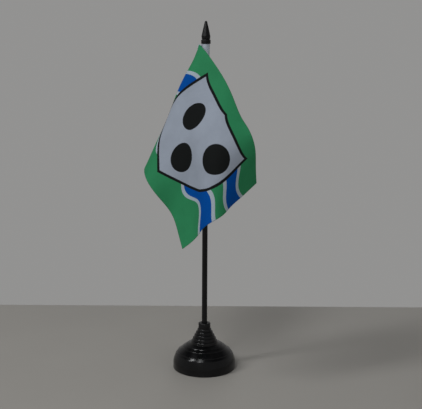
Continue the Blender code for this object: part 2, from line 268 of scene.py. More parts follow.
class Term:
    """A number that nodes work out; arithmetic on it adds the nodes."""

    def __init__(self, tree, socket):
        self.tree = tree
        self.socket = socket

    def math(self, operation, *others):
        node = add(self.tree, "ShaderNodeMath", enumerate((self, *others)), operation=operation)
        return Term(self.tree, node.outputs[0])

    def __add__(self, other):
        return self.math("ADD", other)

    def __sub__(self, other):
        return self.math("SUBTRACT", other)

    def __mul__(self, other):
        return self.math("MULTIPLY", other)

    def __abs__(self):
        return self.math("ABSOLUTE")

    def ramp(self, low, high, start=0.0, end=1.0):
        """Runs smoothly from start at low to end at high, and stays there beyond them."""
        ends = enumerate((self, low, high, start, end))
        node = add(self.tree, "ShaderNodeMapRange", ends, interpolation_type="SMOOTHSTEP")
        return Term(self.tree, node.outputs[0])

    def below(self, edge, softness):
        return self.ramp(edge - softness, edge + softness, 1.0, 0.0)


def axes(tree, vector):
    """The vector's three parts."""
    return [Term(tree, part) for part in add(tree, "ShaderNodeSeparateXYZ", {0: vector}).outputs]


def stretched(tree, vector, scale):
    """The vector times a scale for each axis."""
    return add(tree, "ShaderNodeMapping", {"Scale": scale, "Vector": vector}).outputs[0]


def noise(tree, vector, scale, detail=2.0, roughness=0.5):
    inputs = {"Vector": vector, "Scale": scale, "Detail": detail, "Roughness": roughness}
    return Term(tree, add(tree, "ShaderNodeTexNoise", inputs).outputs[0])


def mixed(tree, share, first, second, blend="MIX"):
    """Colour that runs from first to second, or to the two blended, as share goes from 0 to 1."""
    inputs = {0: share}
    for number, colour in ((6, first), (7, second)):
        inputs[number] = (*colour, 1.0) if isinstance(colour, tuple) else colour
    return add(tree, "ShaderNodeMix", inputs, data_type="RGBA", blend_type=blend).outputs[2]


def attribute(tree, name):
    return Term(tree, add(tree, "ShaderNodeAttribute", attribute_name=name).outputs["Fac"])


def object_place(tree):
    """Place on the object, in metres."""
    return add(tree, "ShaderNodeTexCoord").outputs["Object"]


def finish(name, roughness, **settings):
    """New material with its Principled shader's plain values set; returns it, its tree and the shader."""
    material = bpy.data.materials.new(name)
    material.use_nodes = True
    shader = material.node_tree.nodes["Principled BSDF"]
    shader.inputs["Roughness"].default_value = roughness
    for socket, value in settings.items():
        shader.inputs[socket.replace("_", " ")].default_value = value
    return material, material.node_tree, shader


def coat(tree, shader, shade, uneven=None):
    """Joins the colour, and the roughness too where it varies."""
    feed(tree, shader.inputs["Base Color"], shade)
    if uneven:
        feed(tree, shader.inputs["Roughness"], uneven)


def relief(tree, shader, height, depth):
    """Bump whose height runs from 0 to 1 over the given depth in metres."""
    bump = add(tree, "ShaderNodeBump", {"Strength": 1.0, "Distance": depth, "Height": height})
    feed(tree, shader.inputs["Normal"], bump.outputs[0])


# ---- finishes ----
def moulded_plastic(name, roughness, gloss, grain_scale, seam=False):
    """Black plastic: fine mould grain, rubbed edges, a little dust on the upward faces."""
    material, tree, shader = finish(name, roughness, Specular_IOR_Level=gloss)
    place = object_place(tree)
    upward = axes(tree, add(tree, "ShaderNodeNewGeometry").outputs["Normal"])[2]
    grain = noise(tree, place, grain_scale, 3.0)
    patches = noise(tree, place, 130.0, 3.0, 0.6)
    specks = noise(tree, place, 2600.0, 1.0).ramp(0.70, 0.76)
    dust = upward.ramp(0.45, 0.95) * patches.ramp(0.40, 0.75)
    rubbed = attribute(tree, "edge_wear") * patches.ramp(0.3, 0.6)
    scratches = noise(tree, stretched(tree, place, (900.0, 2400.0, 160.0)), 1.0).ramp(0.69, 0.74)
    shade = mixed(tree, rubbed * 0.16, paint("plastic"), RUBBED_PLASTIC)
    shade = mixed(tree, dust * 0.012 + dust * specks * 0.10, shade, paint("dust"))
    coat(tree, shader, shade,
         patches * 0.05 + rubbed * 0.08 + dust * 0.05 + scratches * 0.08 + (roughness - 0.03))
    height = grain * 0.5 - scratches * 0.35
    if seam:
        height = height + abs(axes(tree, place)[1]).ramp(0.00004, 0.00013, 3.0, 0.0)
    relief(tree, shader, height, MOULD_GRAIN_DEPTH)
    return material


def drawn_plastic(name, roughness):
    """Black plastic rod with faint lines along its length."""
    material, tree, shader = finish(name, roughness, Specular_IOR_Level=0.28)
    place = object_place(tree)
    lines = noise(tree, stretched(tree, place, (2200.0, 2200.0, 14.0)), 1.0)
    patches = noise(tree, stretched(tree, place, (160.0, 160.0, 45.0)), 1.0, 3.0, 0.6)
    rubbed = attribute(tree, "edge_wear") * patches
    marks = noise(tree, stretched(tree, place, (500.0, 500.0, 2600.0)), 1.0, 1.0).ramp(0.70, 0.76)
    worn = patches.ramp(0.4, 0.8) * 0.06 + rubbed * 0.1 + marks * 0.04
    coat(tree, shader, mixed(tree, worn, paint("plastic"), WORN_POLE),
         patches * 0.14 + lines * 0.08 + marks * 0.10 + (roughness - 0.11))
    relief(tree, shader, lines * 0.6 - marks * 0.4, DRAWN_LINE_DEPTH)
    return material


def flat_place(tree):
    """Place on the flat cloth in millimetres, from the piece's own map: whole, across and up."""
    flat = add(tree, "ShaderNodeUVMap", uv_map="flat_cloth").outputs[0]
    across, up, _ = axes(tree, flat)
    return flat, across, up


def plain_weave(across, up, pitch):
    """Height of a plain weave, 0 to 1: one set of threads over the other, turn by turn."""
    turn = 2 * pi / pitch
    warp = (across * turn).math("SINE")
    weft = (up * turn).math("SINE")
    return warp * weft * 0.35 + abs(warp) * 0.3 + 0.35


def strip_cloth(name):
    """White woven strip of the sleeve."""
    material, tree, shader = finish(name, 0.82, Specular_IOR_Level=0.05)
    flat, across, up = flat_place(tree)
    weave = plain_weave(across, up, STRIP_WEAVE_PITCH)
    patches = noise(tree, flat, 0.35, 3.0, 0.6)
    threads = noise(tree, stretched(tree, flat, (5.0, 0.5, 1.0)), 1.0, 1.0)
    dim = tuple(0.80 * part for part in paint("strip"))
    lit = patches.ramp(0.3, 0.7) * 0.35 + threads * 0.2 + weave * 0.2
    coat(tree, shader, mixed(tree, lit, dim, paint("strip")))
    relief(tree, shader, weave * 0.8 + threads * 0.4, STRIP_WEAVE_DEPTH)
    return material


def shield_reach(across, up):
    """Distance outside the shield's edge in millimetres, below 0 inside it."""
    bend = (up - SHIELD_BEND_HEIGHT) * (up - SHIELD_BEND_HEIGHT) * SHIELD_BEND
    out = abs(across - SHIELD_MIDDLE + bend)
    rise = out.ramp(8.0, 30.0, *SHIELD_TOP_RISE)
    top = abs(out * (2 / SHIELD_HALF_TOP) - 1.0).math("POWER", 4.0) * rise
    reach = None
    for (near, high), (far, low) in zip(SHIELD_EDGE, SHIELD_EDGE[1:]):
        run = hypot(far - near, low - high)
        slope = ((high - low) / run, (far - near) / run)
        side = out * slope[0] + up * slope[1] - (near * slope[0] + high * slope[1])
        reach = reach.math("SMOOTH_MAX", side, 2.0) if reach else side
    return reach.math("MAXIMUM", up - SHIELD_TOP - top)


def above_wave(across, up, middle, swing, crest, wavelength):
    """Height above one wavy line in millimetres."""
    return up - middle - ((across - crest) * (2 * pi / wavelength)).math("COSINE") * swing


def print_colours(tree, across, up, paler):
    """The print: two wavy bands on a plain field, and a shield with three roundels."""
    def tone(name):
        return tuple(part + (REVERSE_GREY - part) * paler for part in paint(name))

    shade = tone("field")
    for low_edge, high_edge in BANDS:
        low, high = above_wave(across, up, *low_edge), above_wave(across, up, *high_edge)
        reach = (low * -1.0).math("MAXIMUM", high)
        shade = mixed(tree, reach.below(BAND_EDGING, BLEED), shade, tone("band_edge"))
        shade = mixed(tree, reach.below(-BAND_EDGING, BLEED), shade, tone("band"))
    reach = shield_reach(across, up)
    shade = mixed(tree, reach.below(SHIELD_LINE_OUTSIDE, BLEED), shade, tone("ink"))
    shade = mixed(tree, reach.below(-SHIELD_LINE_INSIDE, BLEED), shade, tone("shield"))
    for middle, height in ROUNDELS:
        squares = (across - middle).math("POWER", 2.0) + (up - height).math("POWER", 2.0)
        shade = mixed(tree, squares.math("SQRT").below(ROUNDEL_RADIUS, BLEED), shade, tone("ink"))
    return shade


def printed_cloth(name, paler, roughness):
    """Thin woven cloth with the print on it; the reverse side is the same print, paler."""
    material, tree, shader = finish(name, roughness, Specular_IOR_Level=0.03)
    flat, across, up = flat_place(tree)
    ragged = noise(tree, flat, 2.4, 1.0) * 0.3
    shade = print_colours(tree, across + ragged, up + ragged, paler)
    weave = plain_weave(across, up, FLAG_WEAVE_PITCH)
    slub = noise(tree, stretched(tree, flat, (0.35, 6.0, 1.0)), 1.0, 1.0)
    yarn = noise(tree, stretched(tree, flat, (6.0, 0.35, 1.0)), 1.0, 1.0)
    patches = noise(tree, flat, 0.05, 3.0, 0.55)
    grey = mixed(tree, patches.ramp(0.3, 0.7) * 0.5 + slub * 0.25 + yarn * 0.25, (0.88,) * 3, (1.05,) * 3)
    coat(tree, shader, mixed(tree, 1.0, shade, grey, "MULTIPLY"),
         slub * 0.08 + patches * 0.06 + (roughness - 0.07))
    relief(tree, shader, weave * 0.6 + slub * 0.5 + yarn * 0.5 + patches * 3.0, FLAG_WEAVE_DEPTH)
    return material


def cut_edge():
    """Edge of the cloth where it was cut hot: the melted threads are darker and shinier."""
    material, tree, shader = finish("heat_cut_edge", 0.45)
    beads = noise(tree, flat_place(tree)[0], 1.6)
    coat(tree, shader, mixed(tree, beads.ramp(0.35, 0.65), (0.02, 0.12, 0.06), (0.05, 0.20, 0.11)))
    relief(tree, shader, beads, MELT_DEPTH)
    return material


def sewing_thread():
    material, tree, shader = finish("white_thread", 0.6, Sheen_Weight=0.2)
    twist = noise(tree, stretched(tree, object_place(tree), (3500.0, 3500.0, 9000.0)), 1.0, 1.0)
    coat(tree, shader, mixed(tree, twist, (0.58, 0.60, 0.64), (0.78, 0.80, 0.84)))
    relief(tree, shader, twist, THREAD_TWIST_DEPTH)
    return material


def pale_floor():
    material, tree, shader = finish("pale_floor", 0.6, Specular_IOR_Level=0.3)
    mottle = noise(tree, object_place(tree), 9.0, 4.0)
    dim = tuple(0.97 * part for part in paint("floor"))
    coat(tree, shader, mixed(tree, mottle.ramp(0.3, 0.7), dim, paint("floor")))
    return material


# ---- mesh helpers ----
def shaped_mesh(name, shape):
    """New mesh of the shape, which is freed."""
    mesh = bpy.data.meshes.new(name)
    shape.to_mesh(mesh)
    shape.free()
    return mesh


def place_object(name, data):
    item = bpy.data.objects.new(name, data)
    bpy.context.scene.collection.objects.link(item)
    return item


def plain_mesh(item):
    """Turns a piece with modifiers into a plain mesh with none."""
    shapes = bpy.context.evaluated_depsgraph_get()
    mesh = bpy.data.meshes.new_from_object(item.evaluated_get(shapes))
    mesh.name = item.name
    item.modifiers.clear()
    item.data = mesh
    return item


def node_modifier(item, tree, **values):
    """Adds a Geometry Nodes modifier with the tree's named inputs set."""
    modifier = item.modifiers.new(tree.name, "NODES")
    modifier.node_group = tree
    names = {socket.name: socket.identifier for socket in tree.interface.items_tree
             if socket.in_out == "INPUT"}
    for name, value in values.items():
        modifier[names[name.replace("_", " ")]] = value


def new_tree(name, inputs):
    """Empty Geometry Nodes tree with a geometry socket each way and the named inputs."""
    tree = bpy.data.node_groups.new(name, "GeometryNodeTree")
    face = tree.interface
    face.new_socket("Geometry", in_out="INPUT", socket_type="NodeSocketGeometry")
    for label, kind, default in inputs:
        socket = face.new_socket(label, in_out="INPUT", socket_type=kind)
        if default is not None:
            socket.default_value = default
    face.new_socket("Geometry", in_out="OUTPUT", socket_type="NodeSocketGeometry")
    return tree, add(tree, "NodeGroupInput"), add(tree, "NodeGroupOutput")


def end_tree(tree, geometry, finish_socket, output):
    """Realize Instances, Set Material and the tree's output."""
    real = add(tree, "GeometryNodeRealizeInstances", {0: geometry})
    inputs = {"Geometry": real.outputs[0], "Material": finish_socket}
    feed(tree, output.inputs[0], add(tree, "GeometryNodeSetMaterial", inputs).outputs[0])


def turning_tree():
    """Tree that rounds an outline's corners and turns the outline about the upright axis."""
    tree, given, output = new_tree("turned_piece", (
        ("Steps Around", "NodeSocketInt", 96),
        ("Fillet Points", "NodeSocketInt", 3),
        ("Rail Radius", "NodeSocketFloat", RAIL_RADIUS),
        ("Finish", "NodeSocketMaterial", None),
    ))
    line = add(tree, "GeometryNodeMeshToCurve", {0: given.outputs["Geometry"]})
    corner = add(tree, "GeometryNodeInputNamedAttribute", {"Name": "corner_radius"})
    rounded = add(tree, "GeometryNodeFilletCurve", {
        "Curve": line.outputs[0],
        "Count": given.outputs["Fillet Points"],
        "Radius": corner.outputs["Attribute"],
        "Limit Radius": True,
    }, mode="POLY")
    rail = add(tree, "GeometryNodeCurvePrimitiveCircle", {
        "Resolution": given.outputs["Steps Around"],
        "Radius": given.outputs["Rail Radius"],
    })
    radius, _, height = axes(tree, add(tree, "GeometryNodeInputPosition").outputs[0])
    inputs = {"X": radius - given.outputs["Rail Radius"], "Y": height * -1.0}
    flat = add(tree, "ShaderNodeCombineXYZ", inputs)
    inputs = {"Geometry": rounded.outputs[0], "Position": flat.outputs[0]}
    laid = add(tree, "GeometryNodeSetPosition", inputs)
    inputs = {"Curve": rail.outputs[0], "Profile Curve": laid.outputs[0]}
    swept = add(tree, "GeometryNodeCurveToMesh", inputs)
    inputs = {"Geometry": swept.outputs[0], "Distance": 1e-6}
    merged = add(tree, "GeometryNodeMergeByDistance", inputs)
    end_tree(tree, merged.outputs[0], given.outputs["Finish"], output)
    return tree


def shared_tree(name, maker):
    return bpy.data.node_groups.get(name) or maker()


def outline_object(name, outline):
    """Open chain of edges in the XZ plane; outline is (radius, height, corner radius), from the top."""
    mesh = bpy.data.meshes.new(name)
    chain = [(step, step + 1) for step in range(len(outline) - 1)]
    mesh.from_pydata([(radius, 0, height) for radius, height, corner in outline], chain, [])
    corners = mesh.attributes.new("corner_radius", "FLOAT", "POINT")
    corners.data.foreach_set("value", [corner for radius, height, corner in outline])
    return place_object(name, mesh)


def turned(name, outline, material, steps=None):
    item = outline_object(name, outline)
    node_modifier(item, shared_tree("turned_piece", turning_tree), Finish=material,
                  Steps_Around=steps or sizes().steps_around, Fillet_Points=sizes().fillet_points,
                  Rail_Radius=RAIL_RADIUS)
    return plain_mesh(item)


def finish_plastic(item):
    """Smooth shading with sharp creases, and how far each place sticks out stored for the finish."""
    mesh = item.data
    shape = bmesh.new()
    shape.from_mesh(mesh)
    bmesh.ops.recalc_face_normals(shape, faces=shape.faces)
    wear = []
    for corner in shape.verts:
        turns = [edge.calc_face_angle_signed(0.0) for edge in corner.link_edges]
        wear.append(min(1.0, max(0.0, sum(turns) / FULL_WEAR_ANGLE)))
    shape.to_mesh(mesh)
    shape.free()
    mesh.shade_smooth()
    mesh.set_sharp_from_angle(angle=CREASE_ANGLE)
    store = mesh.attributes.new("edge_wear", "FLOAT", "POINT")
    store.data.foreach_set("value", wear)
    if "corner_radius" in mesh.attributes:
        mesh.attributes.remove(mesh.attributes["corner_radius"])


# ---- base ----
def arc(centre, radius, start, end, count):
    """Points of a circular arc, angles in degrees from +radius towards +height."""
    turns = [radians(start + (end - start) * step / count) for step in range(count + 1)]
    return [(centre[0] + radius * cos(turn), centre[1] + radius * sin(turn), 0) for turn in turns]


def cone_rings():
    """Corners of the stepped cone, top to bottom: one tread corner and one riser foot for each ring."""
    size = sizes()
    points = []
    for ring in range(RING_COUNT):
        radius = size.neck_radius + RING_LIP + ring * RING_TREAD
        top = size.base_height - NECK_HEIGHT - ring * RING_PITCH
        points.append((radius, top, LIP_CORNER))
        points.append((radius + 0.2 * RING_TREAD, top - 0.8 * RING_PITCH, 0.00015))
    return points


def shelf_step():
    """Outer edge of the wide ring below the cone, and the foot of its riser."""
    radius, height, _ = cone_rings()[-1]
    shelf = (radius + SHELF_TREAD, height - 0.45 * SHELF_DROP, LIP_CORNER)
    return shelf, (shelf[0] + 0.1 * SHELF_TREAD, shelf[1] - 0.25 * SHELF_DROP, RISER_FOOT_CORNER)


def base_outside():
    """Outer outline of the stand from the neck's top edge to the foot of the wall."""
    size = sizes()
    points = [(size.neck_radius, size.base_height, 0.0007),
              (size.neck_radius, size.base_height - NECK_HEIGHT, 0.00012)]
    shelf, shelf_foot = shelf_step()
    points += cone_rings() + [shelf, shelf_foot]
    shoulder_radius, shoulder_top = size.base_radius - SHOULDER_INSET, SHOULDER_SHARE * size.base_height
    reach = shoulder_radius - shelf_foot[0]
    fall = shelf_foot[1] - shoulder_top - SHOULDER_STEP_HEIGHT
    second = (shelf_foot[0] + SECOND_STEP_SHARE * reach,
              shelf_foot[1] - SECOND_STEP_SHARE * fall + 0.7 * SECOND_STEP_DROP)
    points += [
        (*second, 0.0006),
        (second[0] + 0.4 * SECOND_STEP_DROP, second[1] - SECOND_STEP_DROP, RISER_FOOT_CORNER),
        (shoulder_radius, shoulder_top + SHOULDER_STEP_HEIGHT, 0.0005),
        (shoulder_radius + 0.0001, shoulder_top, 0.0001),
    ]
    for out, up in SHOULDER_FLARE:
        points.append((shoulder_radius + out * SHOULDER_INSET,
                       WALL_HEIGHT + up * (shoulder_top - WALL_HEIGHT), 0.003))
    return points + [(size.base_radius, WALL_HEIGHT, 0.002), (size.base_radius, 0, 0.0004)]


def base_inside():
    """Inner outline of the shell, from the foot of the wall up to where it meets the boss."""
    size = sizes()
    inner_wall = size.base_radius - SHELL_WALL
    shoulder_radius, shoulder_top = size.base_radius - SHOULDER_INSET, SHOULDER_SHARE * size.base_height
    shelf = shelf_step()[0]
    cone_foot = size.neck_radius + RING_LIP + RING_COUNT * RING_TREAD - SHELL_WALL
    cone_foot_height = size.base_height - NECK_HEIGHT - RING_COUNT * RING_PITCH - SHELL_WALL
    slope = RING_PITCH / RING_TREAD
    return [
        (inner_wall, 0, 0.0003),
        (inner_wall, WALL_HEIGHT - 0.3 * SHELL_WALL, 0.001),
        (shoulder_radius, shoulder_top - 1.8 * SHELL_WALL, INSIDE_CORNER),
        (shoulder_radius - 0.9 * SHELL_WALL, shoulder_top - SHELL_WALL, INSIDE_CORNER),
        (shelf[0] - 0.5 * SHELL_WALL, shelf[1] - 1.3 * SHELL_WALL, INSIDE_CORNER),
        (cone_foot + 0.0004, cone_foot_height - 0.2 * SHELL_WALL, INSIDE_CORNER),
        (BOSS_RADIUS, cone_foot_height + slope * (cone_foot - BOSS_RADIUS), 0.0004),
    ]


def base_outline():
    size = sizes()
    socket = size.pole_radius + SOCKET_CLEARANCE
    points = [(0, SOCKET_FLOOR, 0), (socket, SOCKET_FLOOR, 0.0002), (socket, size.base_height, 0.0003)]
    points += base_outside() + base_inside()
    return points + [(BOSS_RADIUS, 0, 0.0003), (0, 0, 0)]


def spoke_tree():
    """Tree that sets copies of one upright blade round the axis."""
    tree, given, output = new_tree("spokes", (
        ("Count", "NodeSocketInt", RIB_COUNT),
        ("Finish", "NodeSocketMaterial", None),
    ))
    ring = add(tree, "GeometryNodeMeshCircle", {"Radius": 0.0, "Vertices": given.outputs["Count"]})
    number = Term(tree, add(tree, "GeometryNodeInputIndex").outputs[0])
    turn = ((number + 0.5) * (2 * pi)).math("DIVIDE", given.outputs["Count"])
    copies = add(tree, "GeometryNodeInstanceOnPoints", {
        "Points": ring.outputs[0],
        "Instance": given.outputs["Geometry"],
        "Rotation": add(tree, "ShaderNodeCombineXYZ", {"Z": turn}).outputs[0],
    })
    end_tree(tree, copies.outputs[0], given.outputs["Finish"], output)
    return tree


def rib_blades(material):
    """Stiffening ribs between the shell and the boss, as one object of separate blades."""
    inside = [(radius, height) for radius, height, _ in base_inside()[1:]]
    bite = 0.5 * SHELL_WALL
    edge = [(BOSS_RADIUS - bite, RIB_FOOT_CLEARANCE), (inside[0][0] + bite, RIB_FOOT_CLEARANCE),
            (inside[0][0] + bite, inside[0][1])]
    edge += [(radius + 0.6 * bite, height + 0.6 * bite) for radius, height in inside[1:-1]]
    edge.append((BOSS_RADIUS - bite, inside[-1][1]))
    shape = bmesh.new()
    corners = [shape.verts.new((radius, -RIB_THICKNESS / 2, height)) for radius, height in edge]
    grown = bmesh.ops.extrude_face_region(shape, geom=[shape.faces.new(corners)])
    moved = [part for part in grown["geom"] if isinstance(part, bmesh.types.BMVert)]
    bmesh.ops.translate(shape, verts=moved, vec=(0, RIB_THICKNESS, 0))
    bmesh.ops.recalc_face_normals(shape, faces=shape.faces)
    item = place_object("rib_blades", shaped_mesh("rib_blades", shape))
    node_modifier(item, shared_tree("spokes", spoke_tree), Count=RIB_COUNT, Finish=material)
    return plain_mesh(item)


def build_base():
    material = moulded_plastic("black_gloss_plastic", 0.19, 0.27, 1500.0)
    item = turned("stepped_base", base_outline(), material)
    ribs = rib_blades(material)
    union = item.modifiers.new("ribs", "BOOLEAN")
    union.operation = "UNION"
    union.solver = "EXACT"
    union.object = ribs
    plain_mesh(item)
    bpy.data.objects.remove(ribs)
    finish_plastic(item)
    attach(item, "base")
    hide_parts("base")


# ---- pole and cap ----
def build_pole():
    radius = sizes().pole_radius
    foot, top = POLE_LOW.z, POLE_HIGH.z
    outline = [(0, top, 0), (radius, top, POLE_CORNER)]
    outline += [(radius, top + (foot - top) * step / 12, 0) for step in range(1, 12)]
    outline += [(radius, foot, POLE_CORNER), (0, foot, 0)]
    item = turned("round_pole", outline, drawn_plastic("black_pole_plastic", 0.30), 64)
    finish_plastic(item)
    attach(item, "pole")
    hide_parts("pole")


def cap_outline():
    """From the tip down the outside, then up the bore."""
    size = sizes()
    foot, top = FINIAL_LOW.z, FINIAL_LOW.z + size.cap_height
    groove_radius = CAP_BODY_FOOT_RADIUS - COLLAR_GROOVE_DEPTH
    groove_foot = foot + COLLAR_HEIGHT
    bore = size.pole_radius + SOCKET_CLEARANCE
    points = [(0, top, 0)]
    points += arc((0, top - CAP_TIP_RADIUS), CAP_TIP_RADIUS, 78, 12, 6)
    widest = top - CAP_TAPER_LENGTH
    for share in (0.35, 0.7):
        points.append((CAP_TIP_RADIUS + share * (CAP_BODY_RADIUS - CAP_TIP_RADIUS) + 0.00006,
                       top - CAP_TIP_RADIUS - share * (top - CAP_TIP_RADIUS - widest), 0.002))
    return points + [
        (CAP_BODY_RADIUS, widest, 0.0008),
        (CAP_BODY_FOOT_RADIUS, groove_foot + 2 * COLLAR_GROOVE, 0.0002),
        (groove_radius, groove_foot + COLLAR_GROOVE, 0.0001),
        (groove_radius, groove_foot, 0.0001),
        (size.collar_radius, groove_foot, 0.0003),
        (size.collar_radius, foot, 0.00035),
        (bore, foot, 0.00015),
        (bore, foot + CAP_SEAT, 0.0001),
        (0, foot + CAP_SEAT, 0),
    ]


def build_cap():
    material = moulded_plastic("black_cap_plastic", 0.42, 0.20, 1900.0, seam=True)
    item = turned("spear_cap", cap_outline(), material, 96)
    finish_plastic(item)
    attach(item, "finial")
    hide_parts("finial")


# ---- how the cloth hangs ----
def hoist_point(share):
    """Edge of the printed cloth along the sleeve's tail; share 0 is the foot and 1 the top."""
    return HOIST_RADIUS * OUTWARD + np.array((0, 0, SLEEVE_LOW.z + share * sizes().flag_height))


def thin_plate(places, targets, wanted):
    """Smoothest surface through the targets at the given places, read at the wanted places."""
    def kernel(first, second):
        squared = ((first[:, None] - second[None]) ** 2).sum(-1)
        return squared * np.log(squared + 1e-12)

    count = len(places)
    plane = np.column_stack((np.ones(count), places))
    system = np.zeros((count + 3, count + 3))
    system[:count, :count] = kernel(places, places)
    system[:count, count:] = plane
    system[count:, :count] = plane.T
    weights = np.linalg.solve(system, np.vstack((targets, np.zeros((3, 3)))))
    wanted_plane = np.column_stack((np.ones(len(wanted)), wanted))
    return kernel(wanted, places) @ weights[:count] + wanted_plane @ weights[count:]


def guide_cloth():
    """Coarse grid of points, hoist to fly and foot to top, through the guide places."""
    size = sizes()
    places, targets = [], []
    for height, row in DRAPE:
        places.append((0.0, height * size.flag_height))
        targets.append(hoist_point(height))
        for share, offset in zip(DRAPE_SHARES, row):
            places.append((share * size.flag_width, height * size.flag_height))
            targets.append(hoist_point(height) + np.array(offset) * size.flag_width)
    across = np.linspace(0, size.flag_width, DRAPE_COLUMNS)
    up = np.linspace(0, size.flag_height, DRAPE_ROWS)
    wanted = np.array([(x, y) for x in across for y in up])
    cloth = thin_plate(np.array(places), np.array(targets), wanted)
    cloth = cloth.reshape(DRAPE_COLUMNS, DRAPE_ROWS, 3)
    cloth[0] = [hoist_point(y / size.flag_height) for y in up]
    return cloth


def stiffen(cloth):
    """Eases out kinks, as the stiffness of the threads does; the hoist stays put."""
    curl = np.zeros_like(cloth)
    curl[1:-1] += cloth[2:] - 2 * cloth[1:-1] + cloth[:-2]
    curl[:, 1:-1] += cloth[:, 2:] - 2 * cloth[:, 1:-1] + cloth[:, :-2]
    push = np.zeros_like(cloth)
    push[2:-1] += curl[3:] - 2 * curl[2:-1] + curl[1:-2]
    push[:, 1:-1] += curl[:, 2:] - 2 * curl[:, 1:-1] + curl[:, :-2]
    cloth[1:] -= STIFFNESS * push[1:]


def settle(cloth, passes):
    """Brings every thread and both diagonals of each cell back to length."""
    size = sizes()
    column_step = size.flag_width / (len(cloth) - 1)
    row_step = size.flag_height / (len(cloth[0]) - 1)
    diagonal = hypot(column_step, row_step)
    every, low, high = slice(None), slice(0, -1), slice(1, None)
    links = (((low, every), (high, every), column_step), ((every, low), (every, high), row_step),
             ((low, low), (high, high), diagonal), ((low, high), (high, low), diagonal))
    for turn in range(passes):
        if turn < passes - FREE_PASSES:
            stiffen(cloth)
        shift = np.zeros_like(cloth)
        shares = np.zeros(cloth.shape[:2] + (1,))
        for start, end, length in links:
            span = cloth[end] - cloth[start]
            error = span * (1 - length / np.linalg.norm(span, axis=-1, keepdims=True)) / 2
            shift[start] += error
            shift[end] -= error
            shares[start] += 1
            shares[end] += 1
        cloth[1:] += (1.2 * shift / shares)[1:]
    return cloth


def finer(cloth):
    """The same cloth with a point added between each two, along both ways."""
    def along(points):
        ends = (2 * points[:1] - points[1:2], points, 2 * points[-1:] - points[-2:-1])
        padded = np.concatenate(ends)
        filled = np.empty((2 * len(points) - 1,) + points.shape[1:])
        filled[::2] = points
        filled[1::2] = (-padded[:-3] + 9 * padded[1:-2] + 9 * padded[2:-1] - padded[3:]) / 16
        return filled

    return along(along(cloth).swapaxes(0, 1)).swapaxes(0, 1)


def hanging_cloth():
    """Fine grid of points where the flag hangs."""
    cloth = settle(guide_cloth(), SETTLING_PASSES[0])
    for passes in SETTLING_PASSES[1:]:
        cloth = settle(finer(cloth), passes)
    return cloth


# ---- flag ----
def sheet_mesh(name, points, flat, closed=False):
    """Mesh of a grid of points, with their places on the flat cloth in millimetres as its map."""
    columns, rows = points.shape[:2]
    mesh = bpy.data.meshes.new(name)
    faces, places = [], []
    for column in range(columns - 1):
        for row in range(rows - 1):
            near, far = column * rows + row, (column + 1) * rows + row
            if closed and column == columns - 2:
                far = row
            faces.append((near, far, far + 1, near + 1))
            corners = ((column, row), (column + 1, row), (column + 1, row + 1), (column, row + 1))
            places += [flat[corner] for corner in corners]
    kept = points[:-1] if closed else points
    mesh.from_pydata(kept.reshape(-1, 3).tolist(), [], faces)
    layer = mesh.uv_layers.new(name="flat_cloth")
    layer.data.foreach_set("uv", np.array(places, float).ravel())
    mesh.shade_smooth()
    return mesh


def thicken(item, thickness, reverse=0, rim=0):
    solid = item.modifiers.new("thickness", "SOLIDIFY")
    solid.thickness = thickness
    solid.offset = 0
    solid.use_even_offset = True
    solid.material_offset = reverse
    solid.material_offset_rim = rim


def hoist_allowance(cloth):
    """The grid with one column more, tucked into the tail of the sleeve strip."""
    return np.concatenate((cloth[:1] - OUTWARD * HOIST_TUCK, cloth))


def build_flag(hanging):
    size = sizes()
    cloth = hoist_allowance(hanging)
    columns, rows = cloth.shape[:2]
    tuck = (-HOIST_TUCK / MILLIMETRE,)
    across = np.concatenate((tuck, np.linspace(0, size.flag_width / MILLIMETRE, columns - 1)))
    up = np.linspace(0, size.flag_height / MILLIMETRE, rows)
    flat = np.stack(np.meshgrid(across, up, indexing="ij"), -1)
    item = place_object("printed_flag", sheet_mesh("printed_flag", cloth, flat))
    for material in (printed_cloth("printed_cloth_front", 0.0, 0.62),
                     printed_cloth("printed_cloth_reverse", 0.10, 0.70), cut_edge()):
        item.data.materials.append(material)
    smooth = item.modifiers.new("smooth", "SUBSURF")
    smooth.levels = smooth.render_levels = 1
    smooth.boundary_smooth = "PRESERVE_CORNERS"
    thicken(item, size.cloth_thickness, 1, 2)
    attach(item, "flag")
    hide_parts("flag_panel")


def build_sleeve():
    """Tube of white strip round the pole, a little crumpled, with a soft ridge where its ends meet."""
    size = sizes()
    around, along = 72, 180
    middle = SLEEVE_HIGH.y - 0.5 * size.strip_thickness - SLEEVE_INSET
    length = size.flag_height
    points = np.zeros((around + 1, along, 3))
    flat = np.zeros((around + 1, along, 2))
    for step in range(around + 1):
        turn = 2 * pi * step / around
        for rise in range(along):
            height = rise / (along - 1) * length
            crumple = 0.00006 * sin(3 * turn + 260 * height) + 0.00004 * sin(5 * turn - 410 * height)
            ridge = 0.0001 * max(0.0, cos(turn - HOIST_AZIMUTH)) ** 12
            radius = middle + crumple + ridge
            points[step, rise] = (radius * cos(turn), radius * sin(turn), SLEEVE_LOW.z + height)
            flat[step, rise] = (middle * turn / MILLIMETRE, height / MILLIMETRE)
    item = place_object("white_sleeve", sheet_mesh("white_sleeve", points, flat, closed=True))
    item.data.materials.append(strip_cloth("white_sleeve_cloth"))
    thicken(item, size.strip_thickness)
    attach(item, "sleeve")
    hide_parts("flag_sleeve")


def tail_line(first_thread, second_thread):
    """Plan of the strip's tail at one height: from the sleeve out along the cloth's first threads."""
    start = SLEEVE_HIGH.y + TAIL_START_GAP
    outs = [start + (HOIST_RADIUS - start) * step / 6 for step in range(7)]
    places = [OUTWARD * out + np.array((0, 0, first_thread[2])) for out in outs]
    return np.array(places + [0.5 * (first_thread + second_thread), second_thread])


